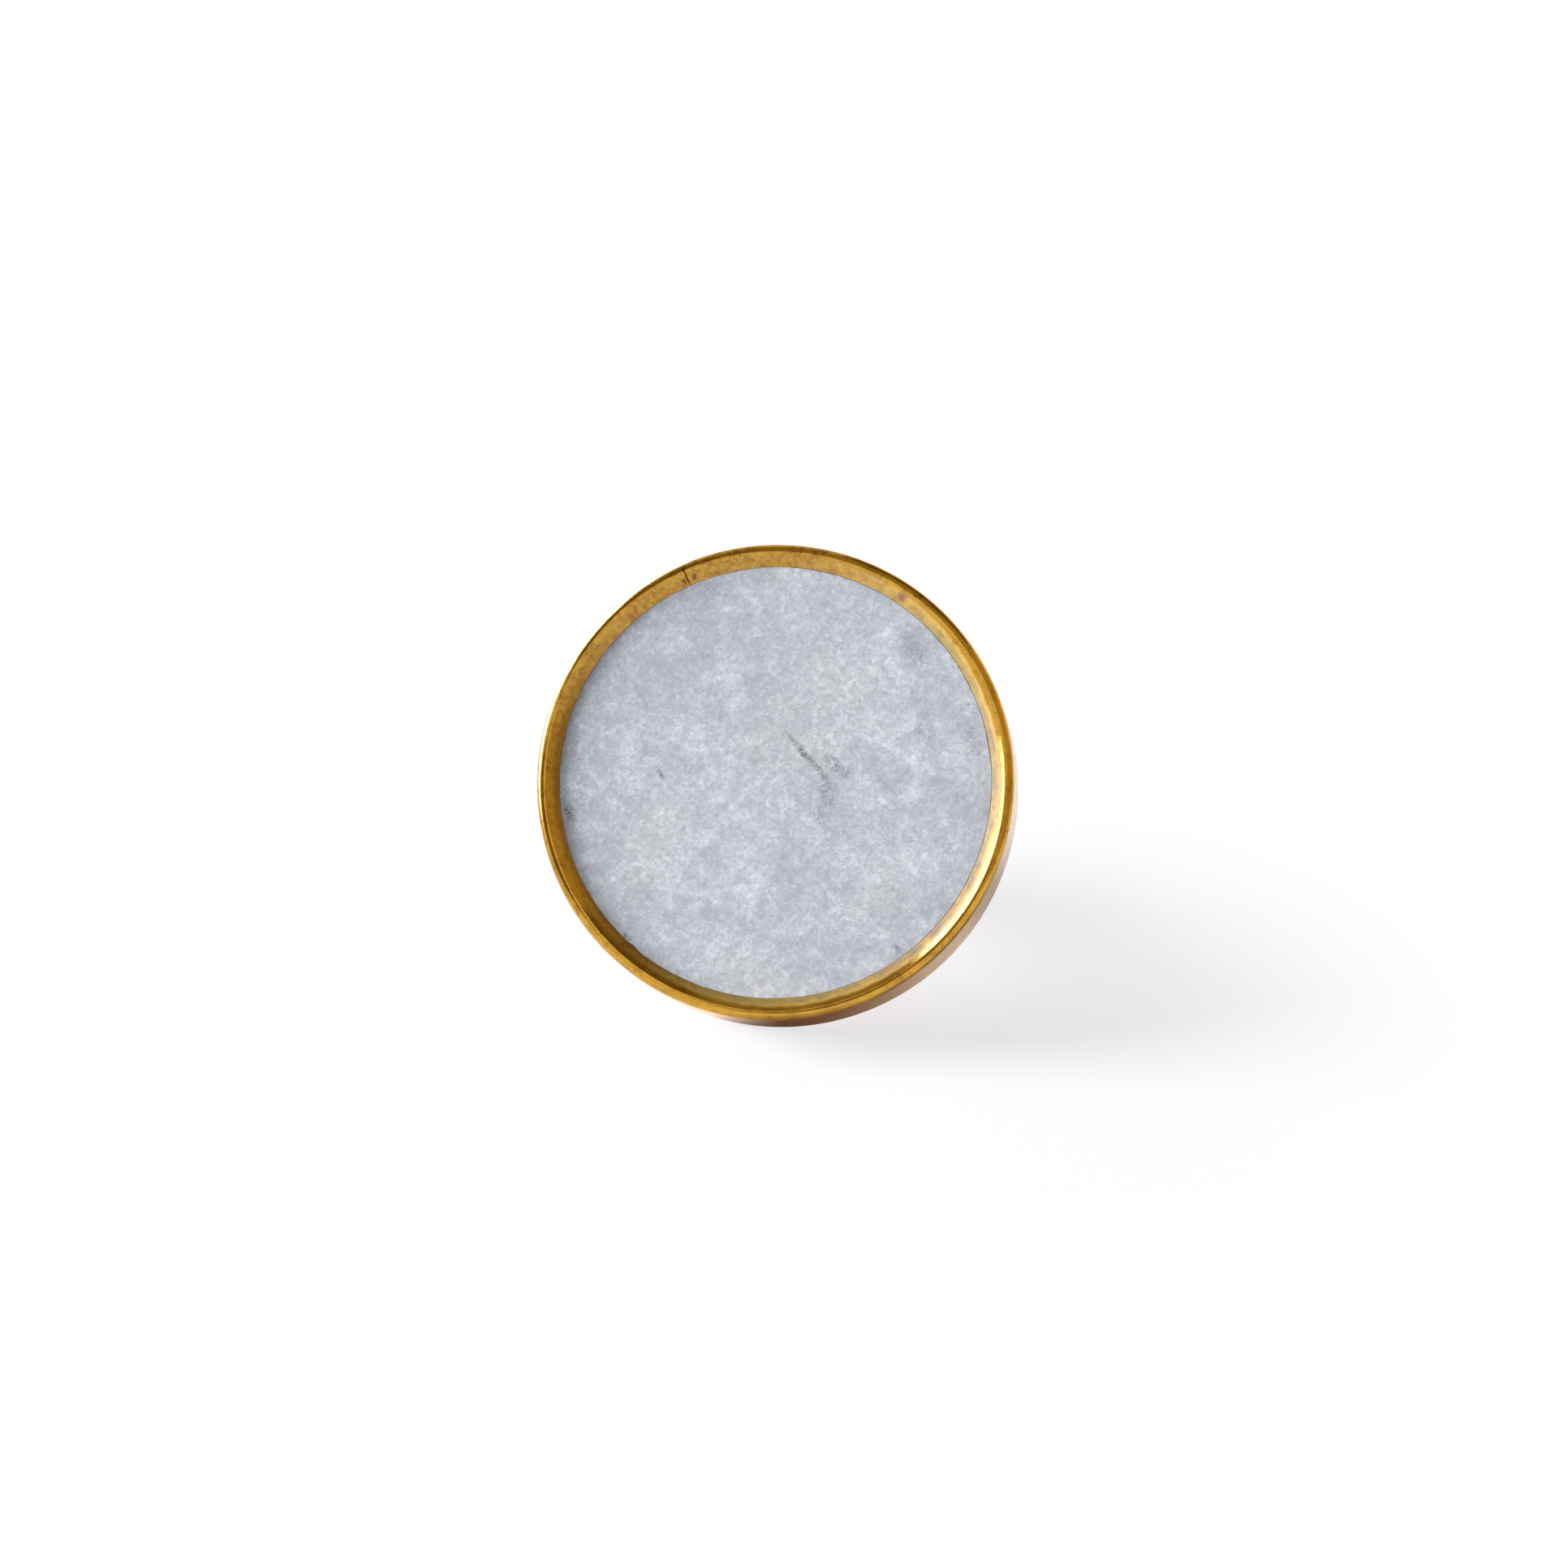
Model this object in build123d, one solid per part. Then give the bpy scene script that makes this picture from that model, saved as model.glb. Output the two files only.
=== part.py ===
from build123d import *
import os
from math import radians, sqrt, tan

# A round cabinet knob: a brass bezel ring round a marble disc, on a back plate and a turned stem.
# The knob's axis is the Y axis and its face looks towards -Y. The origin is the centre of the foot's
# mounting face, which lies in the plane y = 0 against the drawer front. Sizes are in millimetres.

# Overall sizes
knob_diameter = 38.0
projection = 28.0  # from the mounting face to the crown of the ring's lip

# Bezel ring: a strip rolled into a hoop, with a rounded lip and a hollow bevel down to the stone
ring_depth = 8.4
ring_wall = 1.7
lip_radius = 0.7
bevel_drop = 0.8
bevel_hollow = 0.03  # how far the bevel's arc lies below its chord
ring_back_round = 0.35

# Marble disc
stone_clearance = 0.06  # radial
stone_arris = 0.18

# Back plate
plate_thickness = 1.6
plate_clearance = 0.04  # radial, filled by the brazing
plate_chamfer = 0.25

# Stem
foot_diameter = 15.0
foot_rim = 1.6
neck_diameter = 9.5
collar_diameter = 13.0
collar_rim = 1.2
flare_radius = 8.0
rim_round = 0.4
spigot_diameter = 6.0
spigot_clearance = 0.03  # radial
spigot_setback = 0.1  # the spigot's end below the plate's inner face

# Threaded hole for an M4 screw: the wall is at the tapping drill's size
tap_drill_diameter = 3.3
hole_depth = 12.0
drill_point_angle = 118.0
countersink_diameter = 4.6
countersink_angle = 90.0

# Radii and levels that follow from the sizes above
knob_radius = knob_diameter / 2
bore_radius = knob_radius - ring_wall
crown_y = -projection
stone_face_y = crown_y + bevel_drop
ring_back_y = crown_y + ring_depth
plate_face_y = ring_back_y - plate_thickness
foot_radius = foot_diameter / 2
neck_radius = neck_diameter / 2
collar_radius = collar_diameter / 2
spigot_radius = spigot_diameter / 2
tap_radius = tap_drill_diameter / 2
countersink_radius = countersink_diameter / 2


def corners(sketch, *points):
    """The sketch's vertices at the given points."""
    return [sketch.vertices().sort_by_distance(point)[0] for point in points]


def flare_height(rim_radius):
    """The length along the axis of an arc that leaves the neck and reaches a rim."""
    flare_width = rim_radius - neck_radius
    return sqrt(2 * flare_radius * flare_width - flare_width**2)


def bezel_ring():
    """The hoop: outer wall, rounded lip, hollow bevel, and the bore that holds the stone and the plate."""
    crest = (knob_radius - lip_radius, crown_y)
    lip_foot = (knob_radius, crown_y + lip_radius)
    bevel_foot = (bore_radius, stone_face_y)
    with BuildPart() as ring:
        with BuildSketch(Plane.XY) as section:
            with BuildLine():
                TangentArc(crest, lip_foot, tangent=(1, 0))
                Polyline(
                    lip_foot,
                    (knob_radius, ring_back_y),
                    (bore_radius, ring_back_y),
                    bevel_foot,
                )
                SagittaArc(bevel_foot, crest, bevel_hollow)
            make_face()
            fillet(corners(section, (knob_radius, ring_back_y)), ring_back_round)
        revolve(axis=Axis.Y)
    return ring.part


def marble_disc():
    """The stone: a plain disc on the plate's inner face, with its arrises just taken off."""
    stone_radius = bore_radius - stone_clearance
    with BuildPart() as disc:
        with BuildSketch(Plane.XY) as section:
            with BuildLine():
                Polyline(
                    (0, stone_face_y),
                    (stone_radius, stone_face_y),
                    (stone_radius, plate_face_y),
                    (0, plate_face_y),
                    close=True,
                )
            make_face()
            rim = corners(section, (stone_radius, stone_face_y), (stone_radius, plate_face_y))
            chamfer(rim, stone_arris)
        revolve(axis=Axis.Y)
    return disc.part


def back_plate():
    """The plate that closes the ring's back, with a hole for the stem's spigot."""
    plate_radius = bore_radius - plate_clearance
    hole_radius = spigot_radius + spigot_clearance
    with BuildPart() as plate:
        with BuildSketch(Plane.XY) as section:
            with BuildLine():
                Polyline(
                    (hole_radius, plate_face_y),
                    (plate_radius, plate_face_y),
                    (plate_radius, ring_back_y),
                    (hole_radius, ring_back_y),
                    close=True,
                )
            make_face()
            chamfer(corners(section, (plate_radius, ring_back_y)), plate_chamfer)
        revolve(axis=Axis.Y)
    return plate.part


def screw_hole():
    """The blind hole as drilled for tapping: drill point, straight wall and countersunk mouth."""
    point_depth = tap_radius / tan(radians(drill_point_angle / 2))
    countersink_depth = (countersink_radius - tap_radius) / tan(radians(countersink_angle / 2))
    with BuildPart() as hole:
        with BuildSketch(Plane.XY):
            with BuildLine():
                Polyline(
                    (0, 0),
                    (countersink_radius, 0),
                    (tap_radius, -countersink_depth),
                    (tap_radius, -hole_depth),
                    (0, -hole_depth - point_depth),
                    close=True,
                )
            make_face()
        revolve(axis=Axis.Y)
    return hole.part


def stem():
    """The turned post: spigot, collar, waisted neck, and a flared foot with the screw hole in its face."""
    spigot_end_y = plate_face_y + spigot_setback
    collar_y = ring_back_y + collar_rim
    neck_top = (neck_radius, collar_y + flare_height(collar_radius))
    neck_foot = (neck_radius, -foot_rim - flare_height(foot_radius))
    with BuildPart() as post:
        with BuildSketch(Plane.XY) as section:
            with BuildLine():
                Line(neck_foot, neck_top)
                TangentArc(neck_top, (collar_radius, collar_y), tangent=(0, -1))
                Polyline(
                    (collar_radius, collar_y),
                    (collar_radius, ring_back_y),
                    (spigot_radius, ring_back_y),
                    (spigot_radius, spigot_end_y),
                    (0, spigot_end_y),
                    (0, 0),
                    (foot_radius, 0),
                    (foot_radius, -foot_rim),
                )
                TangentArc(neck_foot, (foot_radius, -foot_rim), tangent=(0, 1))
            make_face()
            foot_edge = corners(section, (foot_radius, 0), (foot_radius, -foot_rim))
            collar_edge = corners(section, (collar_radius, collar_y))
            fillet(foot_edge + collar_edge, rim_round)
        revolve(axis=Axis.Y)
        add(screw_hole(), mode=Mode.SUBTRACT)
    return post.part


os.makedirs("parts", exist_ok=True)
for make in (bezel_ring, marble_disc, back_plate, stem):
    export_step(make(), f"parts/{make.__name__}.step")
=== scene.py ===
from math import acos, atan2, cos, pi, radians, sin, sqrt, tan

import bmesh
import bpy
from mathutils import Matrix, Vector, noise


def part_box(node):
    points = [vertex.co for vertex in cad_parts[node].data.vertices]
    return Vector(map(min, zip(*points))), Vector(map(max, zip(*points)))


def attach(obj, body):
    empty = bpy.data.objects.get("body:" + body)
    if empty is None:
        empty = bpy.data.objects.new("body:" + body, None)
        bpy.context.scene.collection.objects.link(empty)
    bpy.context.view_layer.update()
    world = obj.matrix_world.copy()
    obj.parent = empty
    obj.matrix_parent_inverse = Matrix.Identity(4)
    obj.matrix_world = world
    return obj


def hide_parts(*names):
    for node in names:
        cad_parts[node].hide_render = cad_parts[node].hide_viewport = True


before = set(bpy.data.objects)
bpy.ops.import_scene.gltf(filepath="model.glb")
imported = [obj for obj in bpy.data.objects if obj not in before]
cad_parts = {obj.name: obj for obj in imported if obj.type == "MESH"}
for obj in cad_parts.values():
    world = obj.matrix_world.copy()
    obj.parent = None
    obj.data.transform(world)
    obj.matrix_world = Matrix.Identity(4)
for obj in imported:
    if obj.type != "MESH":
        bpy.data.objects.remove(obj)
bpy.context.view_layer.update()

# A round cabinet knob, brass round marble. The axis is Y, the face looks towards -Y, and Z is up.
# Lengths are in metres; mm turns a size in millimetres into metres.
# Turns and headings run clockwise from +X as seen from the front.
mm = 0.001
BODY = "root"

# Sizes read from the frame
ring_low, ring_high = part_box("bezel_ring")
stone_low, stone_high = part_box("marble_disc")
plate_low, plate_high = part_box("back_plate")
stem_low, stem_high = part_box("stem")
outer_r = ring_high.x
crown_y = ring_low.y
ring_back_y = ring_high.y
stone_r = stone_high.x
stone_face_y = stone_low.y
stone_back_y = stone_high.y
plate_r = plate_high.x
plate_face_y = plate_low.y
foot_r = stem_high.x
spigot_end_y = stem_low.y

# Meshes: the steps round the axis, and the shading of edges
ring_steps = 960
stone_steps = 1440
plate_steps = 480
stem_steps = 160
weld_distance = 0.0005 * mm
sharp_angle = radians(35)

# Bezel ring: section and the marks of handwork
stone_gap = 0.06 * mm
bore_r = stone_r + stone_gap
lip_r = 0.7 * mm
burnished_gap = 0.006 * mm  # the strip's edge is rubbed down against the stone
burnished_depth = 0.25 * mm
bevel_hollow = 0.02 * mm
crest_round = 0.05 * mm
ring_back_round = 0.35 * mm
wall_rows = (0.01, 0.25, 0.5, 0.75, 0.99)  # shares of the outer wall, close at its ends to shade it flat
hand_wave = 0.012 * mm
hand_wave_length = 3 * mm
crest_wander = 3 * hand_wave
seam_at = radians(-116)
seam_half_width = 0.06 * mm
seam_depth = 0.07 * mm
seam_steps = 5  # on each side, a third of the half width apart

# Marble disc: its worn front edge, and the place where it is chipped
stone_arris = 0.18 * mm
front_arris = 0.045 * mm
flat_margin = 0.04 * mm  # the face stays flat up to this distance from its worn edge
arris_uneven = 0.08 * mm
arris_middle = (0.35, 0.3)  # the worn edge's middle: inwards from the rim and back from the face, in widths
chips_at = radians(128)
chip_width = radians(2.2)
chip_depth = 0.18 * mm

# Back plate
plate_hole_r = 3.03 * mm
braze_width = 0.25 * mm
braze_uneven = 0.25  # a share of the width
braze_fillet = ((0, 0.5), (0.35, 0.15), (1, 0))  # inwards from the rim and forwards from the back, in widths

# Stem
foot_rim = 1.6 * mm
neck_r = 4.75 * mm
collar_r = 6.5 * mm
collar_rim = 1.2 * mm
flare_r = 8.0 * mm
rim_round = 0.4 * mm
spigot_r = 3.0 * mm
tap_r = 1.65 * mm
thread_r = 2.0 * mm
thread_pitch = 0.7 * mm
thread_slope = 2.9  # a flank's fall in a pitch, in depths of the thread
thread_peak = 1.25  # where the flanks would meet, in the same depths: the groove's floor is flat
hole_depth = 12.0 * mm
drill_half_angle = radians(59)
countersink_r = 2.3 * mm

# Sides of the face as directions, for what lies unevenly round the ring
right_side = (0.94, 0, -0.34)
left_side = (-0.94, 0, -0.34)
upper_left_side = (-0.57, 0, 0.82)

# Stains on the bevel: x and z of the middle and the radius in millimetres, and the colour
stains = (
    (9.41, 15.12, 0.50, (0.15, 0.065, 0.060)),
    (-7.22, 16.15, 0.30, (0.17, 0.07, 0.016)),
    (-7.99, 15.77, 0.22, (0.14, 0.055, 0.012)),
)

# Marks on the stone's face, and painted shade at its left edges: x and z of the middle and (length, width)
# in millimetres, the fall to the right in degrees, and the strength
dark_marks_and_shade = (
    (2.2, 2.4, (6.6, 0.7), 46, 0.75),  # the vein and three knots on it
    (2.05, 2.4, (1.1, 0.6), 60, 0.85),
    (3.5, 1.15, (1.3, 0.7), 45, 0.85),
    (3.9, 0.6, (1.0, 0.6), 40, 0.85),
    (-9.2, 0.26, (1.5, 0.6), 60, 0.7),  # a fleck left of the middle
    (-16.3, -3.1, (2.2, 1.2), 70, 0.85),  # marks near the edge; the first, at the left edge, is painted shade
    (10.3, -12.8, (1.2, 0.6), 40, 0.7),
    (-11.2, -12.8, (1.3, 0.8), 45, 0.9),
)
grey_clouds_and_shade = (
    (4.4, 2.0, (1.8, 1.3), 30, 0.8),  # beside the vein
    (5.0, 1.2, (3.6, 1.5), 35, 0.85),
    (4.2, -0.6, (4.4, 2.2), 80, 0.85),
    (3.9, -2.7, (3.0, 1.8), 75, 0.6),
    (-7.2, 0.9, (2.2, 1.2), 45, 0.5),  # elsewhere on the face
    (10.6, 10.9, (5.5, 3.0), 60, 0.5),
    (11.7, 4.6, (2.6, 1.8), 30, 0.5),
    # painted shade along the stone's upper left edge
    (-6.0, 15.0, (5.0, 1.8), -22, 0.5),
    (15.6, 3.9, (4.5, 1.8), 75, 0.5),
)
pale_veins = ((-3.6, -8.8, (9.0, 0.7), -10, 0.4),)

# The photograph's view: the camera looks at the front rim from a little right of and below the axis
frame_pixels = 1932
rim_centre_pixel = (953.9, 962.0)
pixel_size = 0.06432 * mm
camera_distance = 0.45
camera_azimuth = radians(5.1)
camera_elevation = radians(-6.1)
sensor_width = 36

# The floor touches the ring's back edge and the foot, as the knob lies in the photograph
floor_low = Vector((0, ring_back_y - ring_back_round, -outer_r + ring_back_round))
floor_high = Vector((0, -rim_round, -foot_r + rim_round))
floor_lean = atan2(floor_high.z - floor_low.z, floor_high.y - floor_low.y)
floor_up = Vector((0, -sin(floor_lean), cos(floor_lean)))
floor_away = Vector((0, cos(floor_lean), sin(floor_lean)))
floor_point = floor_low - floor_up * ring_back_round
floor_half = 0.4

# Light and cards
face_middle = Vector((0, crown_y, 0))
lamp_distance = 1.5
fill_strength = 0.26
seen_rays = ("Is Camera Ray", "Is Glossy Ray", "Is Transmission Ray")


def new_object(name, verts, faces, material):
    """A mesh object with smooth shading, apart from its sharp edges."""
    mesh = bpy.data.meshes.new(name)
    mesh.from_pydata(verts, [], faces)
    work = bmesh.new()
    work.from_mesh(mesh)
    bmesh.ops.remove_doubles(work, verts=work.verts, dist=weld_distance)
    bmesh.ops.recalc_face_normals(work, faces=work.faces)
    work.to_mesh(mesh)
    work.free()
    mesh.shade_smooth()
    mesh.set_sharp_from_angle(angle=sharp_angle)
    mesh.materials.append(material)
    obj = bpy.data.objects.new(name, mesh)
    bpy.context.scene.collection.objects.link(obj)
    return obj


def lathe(name, section, turns, material, closed):
    """A turned form: section gives the (r, y) points at a turn; closed joins the last one to the first."""
    verts = []
    for turn in turns:
        verts += [(r * cos(turn), y, -r * sin(turn)) for r, y in section(turn)]
    rows = len(verts) // len(turns)
    faces = []
    for i in range(len(turns)):
        here = i * rows
        after = (i + 1) % len(turns) * rows
        for j in range(rows if closed else rows - 1):
            k = (j + 1) % rows
            faces.append((here + j, after + j, after + k, here + k))
    return new_object(name, verts, faces, material)


def rectangle(name, right, up, material):
    """A flat board about the origin, from its half width and half height as vectors."""
    corners = [-right - up, right - up, right + up, up - right]
    return new_object(name, corners, [(0, 1, 2, 3)], material)


def even_turns(steps):
    return [2 * pi * i / steps for i in range(steps)]


def turn_away(turn, place):
    """The angle from one turn to another, from -pi to pi."""
    return (turn - place + pi) % (2 * pi) - pi


def uneven(turn, waves, seed):
    """A smooth random value from about -1 to 1 that closes round the axis, with so many waves."""
    reach = waves / (2 * pi)
    return noise.noise(Vector((reach * cos(turn), reach * sin(turn), seed)))


def arc(centre, radius, start, end, steps):
    """Points (r, y) on an arc about centre, from one angle to another, from +r towards +y."""
    angles = [start + (end - start) * i / steps for i in range(steps + 1)]
    return [(centre[0] + radius * cos(a), centre[1] + radius * sin(a)) for a in angles]


def rounded(before, corner, after, radius, steps=6):
    """The points of a corner's rounding, between the directions to the points before and after it."""
    corner = Vector(corner)
    back = (Vector(before) - corner).normalized()
    ahead = (Vector(after) - corner).normalized()
    half = acos(max(-1.0, min(1.0, back.dot(ahead)))) / 2
    setback = radius / tan(half)
    points = []
    for i in range(steps + 1):
        t = i / steps
        points.append(corner + back * setback * (1 - t) ** 2 + ahead * setback * t**2)
    return [tuple(p) for p in points]


class Graph:
    """The nodes of a material or world, built by short calls that return the socket or node to use next.
    A surface's colour, rough, height and metal are what has been laid on it so far."""

    def __init__(self, owner, output="ShaderNodeOutputMaterial"):
        self.owner = owner
        owner.use_nodes = True
        self.tree = owner.node_tree
        self.tree.nodes.clear()
        self.output = self.tree.nodes.new(output)
        self.colour = (1, 1, 1)
        self.rough = 0.5
        self.height = 0.0
        self.metal = 0.0

    def node(self, kind, inputs=None, **settings):
        made = self.tree.nodes.new(kind)
        for key, value in settings.items():
            setattr(made, key, value)
        for key, value in (inputs or {}).items():
            self.feed(made.inputs[key], value)
        return made

    def feed(self, socket, value):
        if isinstance(value, bpy.types.NodeSocket):
            self.tree.links.new(value, socket)
        elif socket.type == "RGBA" and len(value) == 3:
            socket.default_value = (*value, 1)
        else:
            socket.default_value = value

    def math(self, operation, *values):
        return self.node("ShaderNodeMath", dict(enumerate(values)), operation=operation).outputs[0]

    def vector(self, operation, *values):
        made = self.node("ShaderNodeVectorMath", dict(enumerate(values)), operation=operation)
        return made.outputs["Value" if operation in ("LENGTH", "DISTANCE", "DOT_PRODUCT") else "Vector"]

    def scaled(self, at, factor):
        made = self.node("ShaderNodeVectorMath", {0: at, "Scale": factor}, operation="SCALE")
        return made.outputs["Vector"]

    def millimetres(self):
        """The object's own coordinates, in millimetres."""
        return self.scaled(self.node("ShaderNodeTexCoord").outputs["Object"], 1 / mm)

    def flat(self, at):
        """The place as seen along the knob's axis, without its level there."""
        return self.vector("MULTIPLY", at, (1, 0, 1))

    def turned(self, at, angle):
        """The place turned about the knob's axis."""
        inputs = {"Vector": at, "Angle": angle}
        return self.node("ShaderNodeVectorRotate", inputs, rotation_type="Y_AXIS").outputs[0]

    def parts(self, vector):
        made = self.node("ShaderNodeSeparateXYZ", {0: vector})
        return made.outputs["X"], made.outputs["Y"], made.outputs["Z"]

    def joined(self, x=0.0, y=0.0):
        return self.node("ShaderNodeCombineXYZ", {"X": x, "Y": y}).outputs[0]

    def noise(self, at, scale, detail=3.0, roughness=0.55, output="Fac", w=None):
        inputs = {"Vector": at, "Scale": scale, "Detail": detail, "Roughness": roughness}
        if w is None:
            return self.node("ShaderNodeTexNoise", inputs).outputs[output]
        return self.node("ShaderNodeTexNoise", {**inputs, "W": w}, noise_dimensions="4D").outputs[output]

    def strayed(self, at, scale, reach, detail=3.0, roughness=0.55):
        """The place moved about at random, by up to half of reach each way."""
        stray = self.noise(at, scale, detail, roughness, output="Color")
        stray = self.vector("SUBTRACT", stray, (0.5, 0.5, 0.5))
        return self.vector("ADD", at, self.vector("MULTIPLY", stray, reach))

    def cells(self, at, scale):
        """Two random values from 0 to 1, each the same all over a crystal-like cell."""
        made = self.node("ShaderNodeTexVoronoi", {"Vector": at, "Scale": scale})
        return self.parts(made.outputs["Color"])[:2]

    def ramp(self, value, low, high, start=0.0, end=1.0):
        """The value mapped smoothly from low..high to start..end, and held beyond the ends."""
        inputs = {"Value": value, "From Min": low, "From Max": high, "To Min": start, "To Max": end}
        return self.node("ShaderNodeMapRange", inputs, interpolation_type="SMOOTHSTEP").outputs["Result"]

    def spot(self, at, centre, radius, soft):
        """1 within a round spot of this radius in millimetres, fading to 0 over its soft outer share."""
        away = self.vector("DISTANCE", at, centre)
        return self.ramp(away, radius * (1 - soft), radius, 1.0, 0.0)

    def all_of(self, *shares):
        total = shares[0]
        for share in shares[1:]:
            total = self.math("MULTIPLY", total, share)
        return total

    def any_ray(self, kinds):
        """1 for a ray of any of these kinds, 0 for the others."""
        path = self.node("ShaderNodeLightPath")
        total = path.outputs[kinds[0]]
        for kind in kinds[1:]:
            total = self.math("MAXIMUM", total, path.outputs[kind])
        return total

    def mix(self, share, first, second):
        made = self.node("ShaderNodeMix", data_type="RGBA")
        self.feed(made.inputs[0], share)
        self.feed(made.inputs[6], first)
        self.feed(made.inputs[7], second)
        return made.outputs[2]

    def paint(self, share, colour, strength=1.0):
        """Lays a colour over the surface's colour so far, as far as the share times the strength says."""
        self.colour = self.mix(self.math("MULTIPLY", share, strength), self.colour, colour)

    def bump(self, height, distance, normal=None):
        """A bump whose height of 1 stands the given distance, in metres."""
        inputs = {"Height": height, "Distance": distance}
        if normal:
            inputs["Normal"] = normal
        return self.node("ShaderNodeBump", inputs).outputs["Normal"]

    def blended(self, share, first, second):
        """The shader node that goes from the first to the second as the share goes from 0 to 1."""
        return self.node("ShaderNodeMixShader", {0: share, 1: first.outputs[0], 2: second.outputs[0]})

    def finish(self, shader):
        self.tree.links.new(shader.outputs[0], self.output.inputs["Surface"])
        return self.owner


def material_graph(name):
    return Graph(bpy.data.materials.new(name))


def turning_lines(g, place):
    """Fine lines that run round the axis, left by turning and polishing."""
    waves_across = 6  # in a millimetre
    waves_round = 4  # in a radian
    flat = g.flat(place)
    outwards = g.joined(y=g.math("MULTIPLY", g.vector("LENGTH", flat), waves_across))
    track = g.vector("ADD", g.scaled(g.vector("NORMALIZE", flat), waves_round), outwards)
    level = g.math("MULTIPLY", g.parts(place)[1], waves_across)
    return g.noise(track, 1.0, detail=4, roughness=0.65, w=level)


def toward_side(g, place, side):
    """How far a point's heading from the axis agrees with a side of the face, from -1 to 1."""
    return g.vector("DOT_PRODUCT", g.vector("NORMALIZE", g.flat(place)), side)


def upper_left(g, place):
    return g.ramp(toward_side(g, place, upper_left_side), -0.2, 0.95)


def before_stone(g, place):
    """1 in front of the stone's face and 0 behind it."""
    face = stone_face_y / mm
    return g.ramp(g.parts(place)[1], face - 0.1, face + 0.2, 1.0, 0.0)


def film_blotches(g, place):
    return g.noise(place, 0.9)


def film_radius(g, place):
    """The distance from the axis, blotchy, and less at the upper left, so that the film is wider there."""
    blotch = g.ramp(film_blotches(g, place), 0.3, 0.7, 0.05, -0.05)
    radius = g.math("ADD", g.vector("LENGTH", g.flat(place)), blotch)
    return g.math("SUBTRACT", radius, g.math("MULTIPLY", upper_left(g, place), 0.35))


def add_film(g, place):
    """Dust and polish on the bevel: pale and dull at the right and below, tan and brighter elsewhere. At the
    right, where the lamps light the bevel most, the pale film is painted darker as painted shade.
    """
    edge = bore_r / mm
    patches = g.ramp(film_blotches(g, place), 0.3, 0.62, 0.8, 1.0)
    film = g.ramp(film_radius(g, place), edge + 0.25, edge + 0.85, 1.0, 0.0)
    film = g.all_of(film, patches, before_stone(g, place))
    right = toward_side(g, place, right_side)
    tone = g.ramp(g.noise(place, 2.2, detail=5, roughness=0.7), 0.36, 0.64)
    pale = g.mix(tone, (0.165, 0.130, 0.042), (0.225, 0.185, 0.073))
    # painted shade: the darker copy of the pale film, used at the right where the lamps light the bevel most
    lit = g.mix(tone, (0.128, 0.106, 0.058), (0.175, 0.150, 0.094))
    pale = g.mix(g.ramp(right, 0.3, 0.9), pale, lit)
    tan_film = g.mix(tone, (0.42, 0.220, 0.034), (0.57, 0.340, 0.080))
    g.paint(film, g.mix(g.ramp(right, -0.3, 0.3), tan_film, pale), 0.9)
    g.rough = g.math("MULTIPLY_ADD", film, 0.2, g.rough)
    g.metal = g.ramp(g.all_of(film, g.ramp(right, -0.5, 0.3)), 0.0, 0.75, 1.0, 0.03)


def add_painted_shade_and_grime(g, place):
    """Painted shade, with some grime, on the bevel against the stone at the left, where the lip's shadow
    falls.
    """
    edge = bore_r / mm
    near = g.ramp(film_radius(g, place), edge, edge + 0.35, 1.0, 0.0)
    left = g.ramp(toward_side(g, place, left_side), 0.3, 0.95)
    g.paint(g.all_of(near, left, before_stone(g, place)), (0.10, 0.055, 0.030), 0.45)


def add_specks(g, place):
    """Brown smears and specks, most of them at the upper left."""
    more = g.math("MULTIPLY", upper_left(g, place), 0.06)
    smears = g.noise(place, 1.2, detail=6, roughness=0.75)
    g.paint(g.ramp(g.math("ADD", smears, more), 0.52, 0.70), (0.30, 0.125, 0.026), 0.75)
    specks = g.noise(place, 3.4, detail=5, roughness=0.7)
    specks = g.ramp(g.math("ADD", specks, more), 0.65, 0.76)
    g.paint(specks, (0.14, 0.058, 0.018), 0.65)
    g.rough = g.math("MULTIPLY_ADD", specks, 0.12, g.rough)
    g.height = g.math("SUBTRACT", g.height, specks)


def add_stains(g, place):
    """One purplish-brown stain at the upper right, and brown ones beside the seam, with ragged outlines."""
    ragged = g.flat(g.strayed(place, 3.0, reach=(0.5, 0, 0.5)))
    for x, z, radius, colour in stains:
        share = g.spot(ragged, (x, 0, z), radius, soft=0.6)
        g.paint(g.all_of(share, before_stone(g, place)), colour, 0.8)


def add_seam_dirt(g, place):
    """Dirt in the butt seam's groove."""
    flat = g.flat(place)
    beside = g.vector("DOT_PRODUCT", flat, (-sin(seam_at), 0, -cos(seam_at)))
    same_side = g.ramp(g.vector("DOT_PRODUCT", flat, (cos(seam_at), 0, -sin(seam_at))), 0.0, 1.0)
    groove = g.ramp(g.math("ABSOLUTE", beside), 0.02, 0.07, 1.0, 0.0)
    g.paint(g.all_of(groove, same_side), (0.10, 0.045, 0.012), 0.6)


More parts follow.
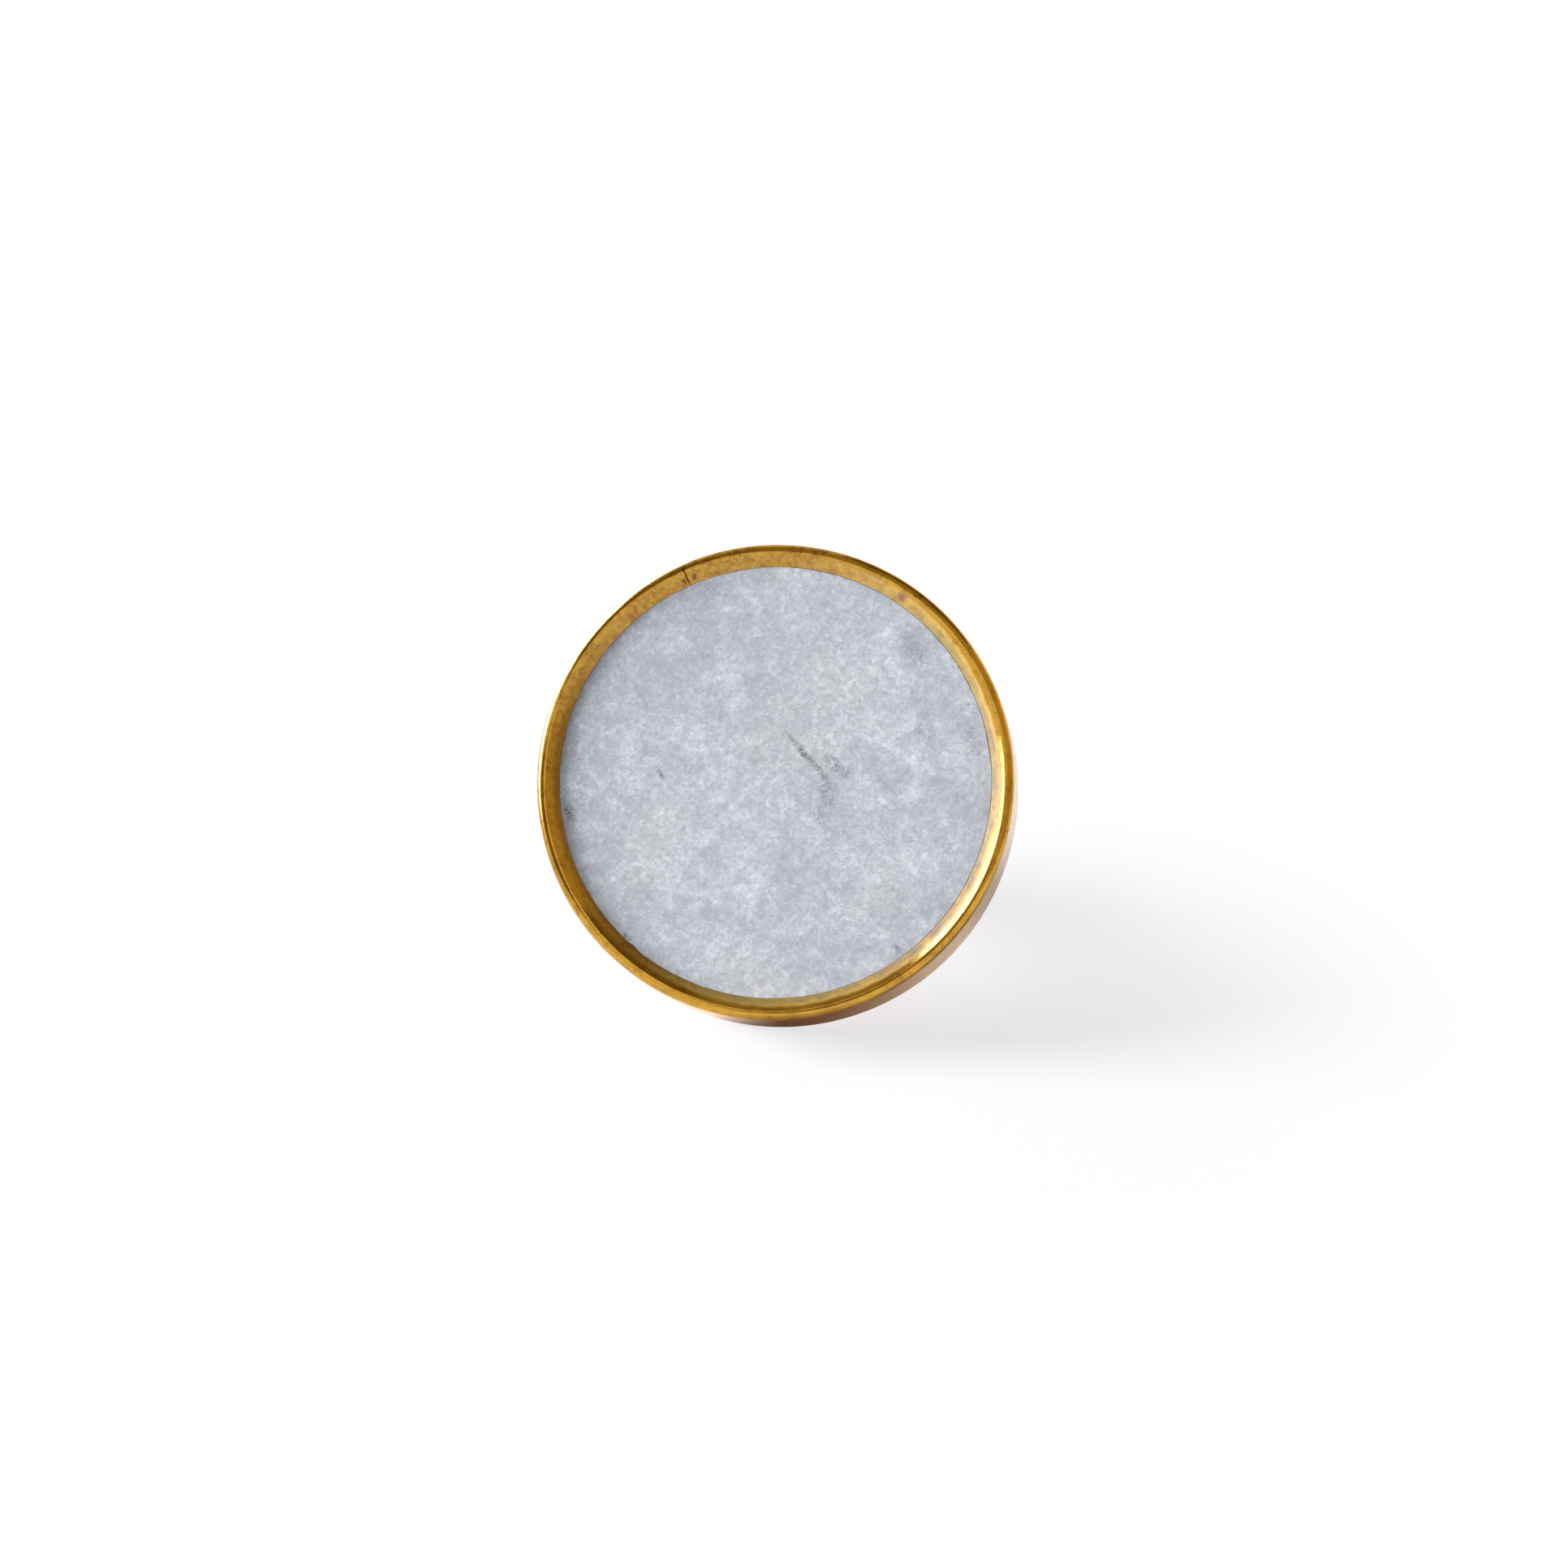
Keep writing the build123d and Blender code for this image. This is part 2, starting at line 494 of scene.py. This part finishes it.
def brass(name, aged_and_shaded):
    """Turned and polished brass with a brown patina; for the bezel ring it adds what has gathered there, and
    shade painted on its bevel.
    """
    g = material_graph(name)
    brown = (0.395, 0.185, 0.024)
    place = g.millimetres()
    lines = turning_lines(g, place)
    g.colour = (0.665, 0.372, 0.046)
    g.paint(g.ramp(g.noise(place, 0.45, detail=7, roughness=0.7), 0.42, 0.70), brown, 0.75)
    g.paint(g.ramp(lines, 0.50, 0.70), brown, 0.6)
    g.rough = g.ramp(g.noise(place, 1.6, detail=4), 0.3, 0.75, 0.09, 0.17)
    g.height = g.ramp(lines, 0.2, 0.8)
    g.metal = 1.0
    if aged_and_shaded:
        for add in (add_film, add_painted_shade_and_grime, add_specks, add_stains, add_seam_dirt):
            add(g, place)
    dents = g.bump(g.noise(place, 1.3, roughness=0.6), 0.008 * mm)
    shader = g.node("ShaderNodeBsdfPrincipled", {
        "Base Color": g.colour,
        "Roughness": g.rough,
        "Metallic": g.metal,
        "Normal": g.bump(g.height, 0.002 * mm, dents),
        "Specular Tint": (1.0, 0.86, 0.68),
        "Coat Weight": 0.15,
        "Coat Roughness": 0.1,
    })
    return g.finish(shader)


def add_mottling(g, place, strayed):
    """Mottling of every size, from clouds of several millimetres down to single grains."""
    dull, bright = (0.385, 0.403, 0.440), (0.695, 0.710, 0.742)
    warm, cool, cloudy = (0.600, 0.580, 0.554), (0.444, 0.482, 0.550), (0.395, 0.412, 0.445)
    mottle = g.noise(strayed, 0.2, detail=8, roughness=0.9)
    g.colour = g.mix(g.ramp(mottle, 0.32, 0.68), dull, bright)
    broad = g.noise(place, 0.13, detail=1)
    fine = g.noise(place, 2.0, detail=5, roughness=0.8)
    tint = g.math("MULTIPLY_ADD", broad, 0.6, fine)
    g.paint(g.ramp(tint, 0.80, 1.06), warm, 0.65)
    g.paint(g.ramp(tint, 0.80, 0.54), cool, 0.8)
    clouds = g.math("ADD", broad, g.noise(place, 0.4, detail=2))
    g.paint(g.ramp(clouds, 1.0, 0.7), cloudy, 0.5)


def add_crystals(g, place, strayed):
    """Crystals of three sizes, each with its own brightness, cleavage lines that turn with the coarse ones,
    and sparse dark grains."""
    coarse = 0.75
    _, heading = g.cells(strayed, coarse)
    for scale, depth in ((coarse, 0.22), (1.8, 0.34), (4.0, 0.46)):
        tone, _ = g.cells(strayed, scale)
        g.paint(g.ramp(tone, 0.0, 1.0), (0.295, 0.310, 0.335), depth)
    along = g.turned(place, g.math("MULTIPLY", heading, pi))
    lines = g.noise(g.vector("MULTIPLY", along, (0.35, 0.6, 1)), 5.0, roughness=0.7)
    g.paint(g.ramp(lines, 0.55, 0.76), (0.80, 0.81, 0.83), 0.45)
    g.paint(g.ramp(lines, 0.45, 0.24), (0.19, 0.20, 0.22), 0.47)
    grains = g.noise(strayed, 2.6, detail=4, roughness=0.7)
    g.paint(g.ramp(grains, 0.40, 0.27), (0.20, 0.21, 0.23), 0.6)


def fleck(g, place, x, z, size, slope):
    """1 within a long spot of the face, fading outwards: size is its length and width in millimetres, and
    slope its fall to the right in degrees."""
    offset = g.vector("SUBTRACT", place, (x, stone_face_y / mm, z))
    along = g.turned(offset, -radians(slope))
    length, width = size
    away = g.vector("LENGTH", g.vector("MULTIPLY", along, (2 / length, 0, 2 / width)))
    return g.ramp(away, 0.25, 1.0, 1.0, 0.0)


def add_marks_and_shade(g, place, strayed):
    """The broken dark vein, the speckled grey clouds, a few marks, painted shade at the stone's left and
    upper left edges, and a pale vein.
    """
    ragged = g.ramp(g.noise(place, 6.5, detail=4, roughness=0.8), 0.40, 0.56)
    speckled = g.ramp(g.noise(strayed, 4.2, detail=4, roughness=0.8), 0.42, 0.58)
    for marks, texture, colour in (
            (dark_marks_and_shade, ragged, (0.085, 0.085, 0.085)),
            (grey_clouds_and_shade, speckled, (0.20, 0.205, 0.22)),
            (pale_veins, ragged, (0.78, 0.78, 0.78))):
        for x, z, size, slope, strength in marks:
            g.paint(g.all_of(fleck(g, place, x, z, size, slope), texture), colour, strength)


def add_painted_glints(g, place):
    """Painted glints: pale colour where crystal faces would catch the light, in loose groups."""
    faces = g.ramp(g.noise(place, 6.0, detail=2), 0.66, 0.73)
    groups = g.ramp(g.noise(place, 0.35, detail=2), 0.46, 0.62)
    g.paint(g.all_of(faces, groups), (0.87, 0.88, 0.90), 0.42)


def marble():
    """Pale, cool grey marble of coarse crystals, with a broken dark vein."""
    g = material_graph("marble")
    place = g.millimetres()
    strayed = g.strayed(place, 0.9, reach=(0.7, 0.7, 0.7), detail=5, roughness=0.65)
    add_mottling(g, place, strayed)
    add_crystals(g, place, strayed)
    add_marks_and_shade(g, place, strayed)
    add_painted_glints(g, place)
    grain = g.noise(strayed, 5.0, roughness=0.65)
    shader = g.node("ShaderNodeBsdfPrincipled", {
        "Base Color": g.colour,
        "Roughness": g.ramp(grain, 0.3, 0.7, 0.52, 0.36),
        "Normal": g.bump(grain, 0.01 * mm),
    })
    return g.finish(shader)


def bevel_points(foot, crest, steps=16):
    """Points of the slightly hollow bevel between its foot at the stone and its crest."""
    along = (crest - foot).normalized()
    into_metal = Vector((-along.y, along.x))
    points = []
    for i in range(1, steps):
        t = i / steps
        points.append(tuple(foot.lerp(crest, t) + into_metal * bevel_hollow * 4 * t * (1 - t)))
    return points


def hand_worked(turn, points):
    """The points taken in towards the middle of the strip, by handwork and by the butt seam's groove."""
    heart = Vector(((outer_r + bore_r) / 2, crown_y + lip_r + bevel_hollow))
    off_seam = abs(turn_away(turn, seam_at)) * outer_r
    groove = seam_depth * max(0.0, 1 - off_seam / seam_half_width)
    worked = []
    for r, y in points:
        inward = heart - Vector((r, y))
        wave = noise.noise(Vector((r * cos(turn), y, r * sin(turn))) / hand_wave_length)
        depth = groove + hand_wave * max(0.0, wave) * min(1, inward.length / mm)
        worked.append(tuple(Vector((r, y)) + inward.normalized() * depth))
    return worked


def ring_section(turn):
    """The hoop's section at one turn: bore, hollow bevel, crest, lip, outer wall and rounded back edge."""
    inner_r = stone_r + burnished_gap
    bore = [(bore_r, ring_back_y), (bore_r, stone_face_y + 2 * burnished_depth)]
    bore += [(inner_r, stone_face_y + burnished_depth), (inner_r, stone_face_y)]
    crest = Vector((outer_r - lip_r + crest_wander * uneven(turn, waves=14, seed=0.3), crown_y))
    points = bevel_points(Vector(bore[-1]), crest)
    lip_width = outer_r - crest.x
    lip = arc((crest.x, crown_y + lip_width), lip_width, -pi / 2, 0, steps=20)
    points += rounded(points[-1], crest, lip[1], crest_round, steps=4) + lip[1:]
    wall_end_y = ring_back_y - ring_back_round
    for t in wall_rows:
        points.append((outer_r, lip[-1][1] * (1 - t) + wall_end_y * t))
    points += arc((outer_r - ring_back_round, wall_end_y), ring_back_round, 0, pi / 2, steps=6)
    return bore + hand_worked(turn, points)


def ring_turns():
    """Even turns, and close ones across the butt seam."""
    fine = seam_half_width / outer_r / 3
    close = [(seam_at + fine * i) % (2 * pi) for i in range(-seam_steps, seam_steps + 1)]
    return sorted(even_turns(ring_steps) + close)


def stone_section(turn):
    """The disc's section at one turn: its front edge is worn unevenly, and chipped at one place."""
    front = front_arris + arris_uneven * max(0.0, uneven(turn, waves=90, seed=0.7))
    off = abs(turn_away(turn, chips_at)) / chip_width
    front += chip_depth * max(0.0, 1 - off) * (1 + uneven(turn, waves=400, seed=0.1))
    back = stone_arris
    points = [(0, stone_back_y), (stone_r - back, stone_back_y), (stone_r, stone_back_y - back)]
    points.append((stone_r, stone_face_y + front))
    points.append((stone_r - arris_middle[0] * front, stone_face_y + arris_middle[1] * front))
    points.append((stone_r - front, stone_face_y))
    points.append((stone_r - front - flat_margin, stone_face_y))
    rings = 8
    points += [(stone_r * k / rings, stone_face_y) for k in range(rings - 1, -1, -1)]
    return points


def plate_section(turn):
    """The plate's section at one turn, with the uneven fillet of braze at its rim."""
    width = braze_width * (1 + braze_uneven * uneven(turn, waves=40, seed=0.9))
    points = [(plate_hole_r, plate_face_y), (plate_r, plate_face_y)]
    for inwards, forwards in braze_fillet:
        points.append((plate_r - inwards * width, ring_back_y - forwards * width))
    flat_r = plate_r - width
    rings = 12
    points += [(flat_r - (flat_r - plate_hole_r) * i / rings, ring_back_y) for i in range(1, rings + 1)]
    return points


def flare(rim_r, neck_y, sense, steps=20):
    """The hollow curve that leaves the neck at neck_y and widens to rim_r; sense is its way along Y."""
    end = acos(1 - (rim_r - neck_r) / flare_r)
    angles = [end * i / steps for i in range(steps + 1)]
    return [(neck_r + flare_r * (1 - cos(a)), neck_y + sense * flare_r * sin(a)) for a in angles]


def flare_height(rim_r):
    return sqrt(2 * flare_r * (rim_r - neck_r) - (rim_r - neck_r) ** 2)


def stem_outline():
    """The stem's fixed outline, from the spigot's end round to the mouth of the screw hole."""
    cut = 3  # points at the end of each flare that make room for the rim's rounding
    collar_y = ring_back_y + collar_rim
    upper = flare(collar_r, collar_y + flare_height(collar_r), -1)[::-1]
    lower = flare(foot_r, -foot_rim - flare_height(foot_r), 1)
    points = [(0, spigot_end_y), (spigot_r, spigot_end_y), (spigot_r, ring_back_y), (collar_r, ring_back_y)]
    points += rounded((collar_r, ring_back_y), (collar_r, collar_y), upper[cut - 1], rim_round)
    points += upper[cut:] + lower[:-cut]
    points += rounded(lower[-cut], (foot_r, -foot_rim), (foot_r, 0), rim_round)
    points += rounded((foot_r, -foot_rim), (foot_r, 0), (0, 0), rim_round)
    rings = 8
    points += [(foot_r - (foot_r - countersink_r) * i / rings, 0) for i in range(1, rings)]
    points.append((countersink_r, 0))
    return points


def stem_section(turn):
    """The stem's section at one turn: the outline, then the screw thread and the drill's point."""
    steps_a_pitch = 10
    top = -(countersink_r - tap_r)
    rows = int((hole_depth + top) / thread_pitch * steps_a_pitch)
    points = stem_outline()
    for i in range(rows + 1):
        y = top - (hole_depth + top) * i / rows
        phase = (y / thread_pitch + turn / (2 * pi)) % 1
        groove = max(0.0, min(1.0, thread_peak - thread_slope * abs(phase - 0.5)))
        points.append((tap_r + (thread_r - tap_r) * groove, y))
    points.append((tap_r, -hole_depth))
    points.append((0, -hole_depth - tap_r / tan(drill_half_angle)))
    return points


def dress(piece, node):
    """Puts a piece on its body and hides the node that it replaces."""
    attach(piece, BODY)
    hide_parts(node)


def floor_material():
    """White, with a share of matt surface near the knob that takes its shadow; clear from below."""
    shadow_reach, white_reach = 23, 60  # in millimetres
    share_to_camera, share_in_reflections = 0.28, 0.95
    g = material_graph("floor")
    near = g.ramp(g.vector("LENGTH", g.millimetres()), shadow_reach, white_reach, 1.0, 0.0)
    camera = g.any_ray(["Is Camera Ray"])
    share = g.math("MULTIPLY", g.ramp(camera, 0.0, 1.0, share_in_reflections, share_to_camera), near)
    # near the knob the white glow is faintly blue: a painted tint for the shadow that falls there
    tint = g.mix(near, (1, 1, 1), (0.99, 0.984, 1.0))
    white = g.node("ShaderNodeEmission", {"Color": tint, "Strength": 1.0})
    matt = g.node("ShaderNodeBsdfDiffuse", {"Color": (0.92, 0.925, 0.99)})
    top = g.blended(g.any_ray(seen_rays), matt, g.blended(share, white, matt))
    below = g.node("ShaderNodeNewGeometry").outputs["Backfacing"]
    return g.finish(g.blended(below, top, g.node("ShaderNodeBsdfTransparent")))


def make_floor():
    """A pale floor, white where nothing shades it, that fades to plain white away from the knob."""
    floor = rectangle("floor", Vector((floor_half, 0, 0)), floor_away * floor_half, floor_material())
    floor.location = floor_point
    if floor.data.polygons[0].normal.dot(floor_up) < 0:
        floor.data.flip_normals()


def aim(obj, target, up):
    """Turns obj so that its -Z axis points at target and its Y axis is as near as can be to up."""
    forward = (target - obj.location).normalized()
    right = forward.cross(up).normalized()
    turned = Matrix((right, right.cross(forward), -forward)).transposed().to_4x4()
    obj.matrix_world = Matrix.Translation(obj.location) @ turned


def from_axis(tilt, heading):
    """The direction at a tilt from the knob's axis, with a heading."""
    return Vector((sin(tilt) * cos(heading), -cos(tilt), -sin(tilt) * sin(heading)))


def make_lamp(name, toward, size, energy):
    """A soft box of the given width and height that shines on the knob from the given direction."""
    lamp = bpy.data.lights.new(name, "AREA")
    lamp.shape = "RECTANGLE"
    lamp.size, lamp.size_y = size
    lamp.energy = energy
    box = bpy.data.objects.new(name, lamp)
    bpy.context.scene.collection.objects.link(box)
    box.location = face_middle + toward.normalized() * lamp_distance
    aim(box, face_middle, floor_up)
    box.visible_camera = False
    box.visible_glossy = False


def glow(g, colour, fade):
    """A glowing surface that turns clear as fade goes from 0 to 1."""
    lit = g.node("ShaderNodeEmission", {"Color": colour, "Strength": 1.0})
    return g.finish(g.blended(fade, lit, g.node("ShaderNodeBsdfTransparent")))


def show_in_reflections(card):
    """Leaves a card to be seen only in reflections."""
    card.visible_camera = False
    card.visible_diffuse = False
    card.visible_transmission = False
    card.visible_shadow = False


def make_card(name, tilt, heading, size, colour, distance=0.5, soft=0.3):
    """A card or panel of the studio, seen only in reflections, whose outer soft share fades away. Its place
    is a tilt from the knob's axis and a heading, and size its extent outwards and across, all in degrees."""
    g = material_graph(name)
    half_out, half_across = [distance * tan(radians(angle) / 2) for angle in size]
    place = g.node("ShaderNodeTexCoord").outputs["Object"]
    out, across, _ = g.parts(g.vector("ABSOLUTE", g.vector("DIVIDE", place, (half_out, half_across, 1))))
    fade = g.ramp(g.math("MAXIMUM", out, across), 1.0 - soft, 1.0)
    card = rectangle(name, Vector((half_out, 0, 0)), Vector((0, half_across, 0)), glow(g, colour, fade))
    turn = radians(heading)
    card.location = face_middle + from_axis(radians(tilt), turn) * distance
    aim(card, face_middle, Vector((-sin(turn), 0, -cos(turn))))
    show_in_reflections(card)


def make_contact_shade_card():
    """Painted shade: a dark sheet on the floor where the ring touches it, standing for the shadow there,
    seen only in reflections, that fades outwards.
    """
    reach_left, reach_right, reach_away = 6, 13, 20  # in millimetres
    offset = Vector((1.2 * mm, 0, 0)) - floor_away * 0.6 * mm
    above_floor = 0.02 * mm
    g = material_graph("contact_shade_card")
    place = g.millimetres()
    x = g.parts(place)[0]
    across = g.math("MAXIMUM", g.math("DIVIDE", x, reach_right), g.math("DIVIDE", x, -reach_left))
    along = g.math("DIVIDE", g.vector("LENGTH", g.vector("MULTIPLY", place, (0, 1, 1))), reach_away)
    fade = g.math("MINIMUM", g.vector("LENGTH", g.joined(across, along)), 1.0)
    right = Vector((reach_right * mm, 0, 0))
    card = rectangle("contact_shade_card", right, floor_away * reach_away * mm, glow(g, (0.14, 0.07, 0.03), fade))
    card.location = floor_point + floor_up * above_floor + offset
    show_in_reflections(card)


def make_world():
    """White to the camera and in reflections, and a dim even fill for the rest."""
    g = Graph(bpy.data.worlds.new("studio"), "ShaderNodeOutputWorld")
    white = g.node("ShaderNodeBackground", {"Color": (1, 1, 1), "Strength": 1.0})
    fill = g.node("ShaderNodeBackground", {"Color": (0.84, 0.91, 1.0), "Strength": fill_strength})
    bpy.context.scene.world = g.finish(g.blended(g.any_ray(seen_rays), fill, white))


def make_camera():
    """The photograph's camera: its up is the floor's, and the front rim's centre falls on its pixel."""
    data = bpy.data.cameras.new("camera")
    data.sensor_width = sensor_width
    data.lens = sensor_width * camera_distance / (frame_pixels * pixel_size)
    data.clip_start = 0.01
    data.clip_end = 10
    camera = bpy.data.objects.new("camera", data)
    bpy.context.scene.collection.objects.link(camera)
    level = cos(camera_elevation)
    toward = Vector((sin(camera_azimuth) * level, -cos(camera_azimuth) * level, sin(camera_elevation)))
    camera.location = face_middle + toward * camera_distance
    aim(camera, face_middle, floor_up)
    right, down = [(frame_pixels / 2 - p) * pixel_size for p in rim_centre_pixel]
    camera.matrix_world = camera.matrix_world @ Matrix.Translation((right, -down, 0))
    bpy.context.scene.camera = camera


aged_and_shaded_brass = brass("aged_and_shaded_brass", aged_and_shaded=True)
turned_brass = brass("turned_brass", aged_and_shaded=False)
ring = lathe("ring", ring_section, ring_turns(), aged_and_shaded_brass, closed=True)
stone = lathe("stone", stone_section, even_turns(stone_steps), marble(), closed=False)
plate = lathe("plate", plate_section, even_turns(plate_steps), turned_brass, closed=True)
post = lathe("post", stem_section, even_turns(stem_steps), turned_brass, closed=False)
dress(ring, "bezel_ring")
dress(stone, "marble_disc")
dress(plate, "back_plate")
dress(post, "stem")

make_floor()
key_from = Vector((-0.93, 0, 0)) + floor_away * -0.10 + floor_up * 0.34
side_from = from_axis(radians(76.5), radians(177))
make_lamp("key", toward=key_from, size=(0.9, 0.5), energy=52)
make_lamp("side", toward=side_from, size=(0.8, 0.4), energy=31)
make_card("camera_card", tilt=15, heading=50, size=(38, 60), colour=(0.26, 0.18, 0.06), soft=0.8)
make_card("left_card", tilt=45, heading=176, size=(46, 32), colour=(0.26, 0.18, 0.06))
make_card("upper_left_card", tilt=52, heading=230, size=(44, 40), colour=(0.24, 0.18, 0.08), distance=0.48)
make_card("ceiling_card", tilt=72, heading=272, size=(104, 96), colour=(0.36, 0.31, 0.19), soft=0.2)
make_card("ceiling_edge", tilt=100, heading=256, size=(20, 64), colour=(0.95, 0.85, 0.55),
          distance=0.44, soft=0.5)
make_card("upper_card", tilt=94, heading=297, size=(56, 42), colour=(0.18, 0.13, 0.06), distance=0.42)
make_card("right_card", tilt=68, heading=343, size=(84, 66), colour=(0.58, 0.46, 0.21), distance=0.48)
make_card("window_panel", tilt=115, heading=201, size=(72, 62), colour=(8, 10, 22),
          distance=0.46, soft=0.12)
make_contact_shade_card()
make_world()
make_camera()
bpy.context.scene.view_settings.view_transform = "Standard"
